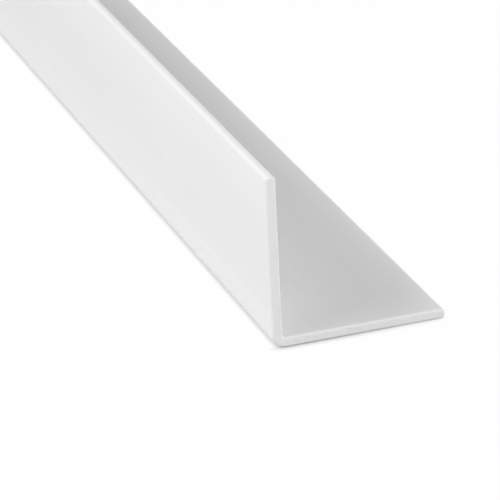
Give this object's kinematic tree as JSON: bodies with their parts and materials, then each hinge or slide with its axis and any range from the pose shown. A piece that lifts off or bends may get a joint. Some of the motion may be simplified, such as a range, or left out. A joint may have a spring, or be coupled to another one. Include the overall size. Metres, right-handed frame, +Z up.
{
  "type": "corner guard moulding",
  "caption": "White plastic angle moulding with equal legs, a rounded heel and full-round tips, glued over an outside wall corner to guard its arris from knocks.",
  "frame": {"origin": "on the floor under the middle of the foot's width, halfway along the length", "axes": "+Y along the stock, +X from the heel to the tip of the foot, +Z up along the standing leg"},
  "size_m": [0.0381, 1.2192, 0.0381],
  "materials": {
    "white_pvc": "satin"
  },
  "bodies": {
    "root": {"corner_guard": "white_pvc"}
  },
  "joints": []
}
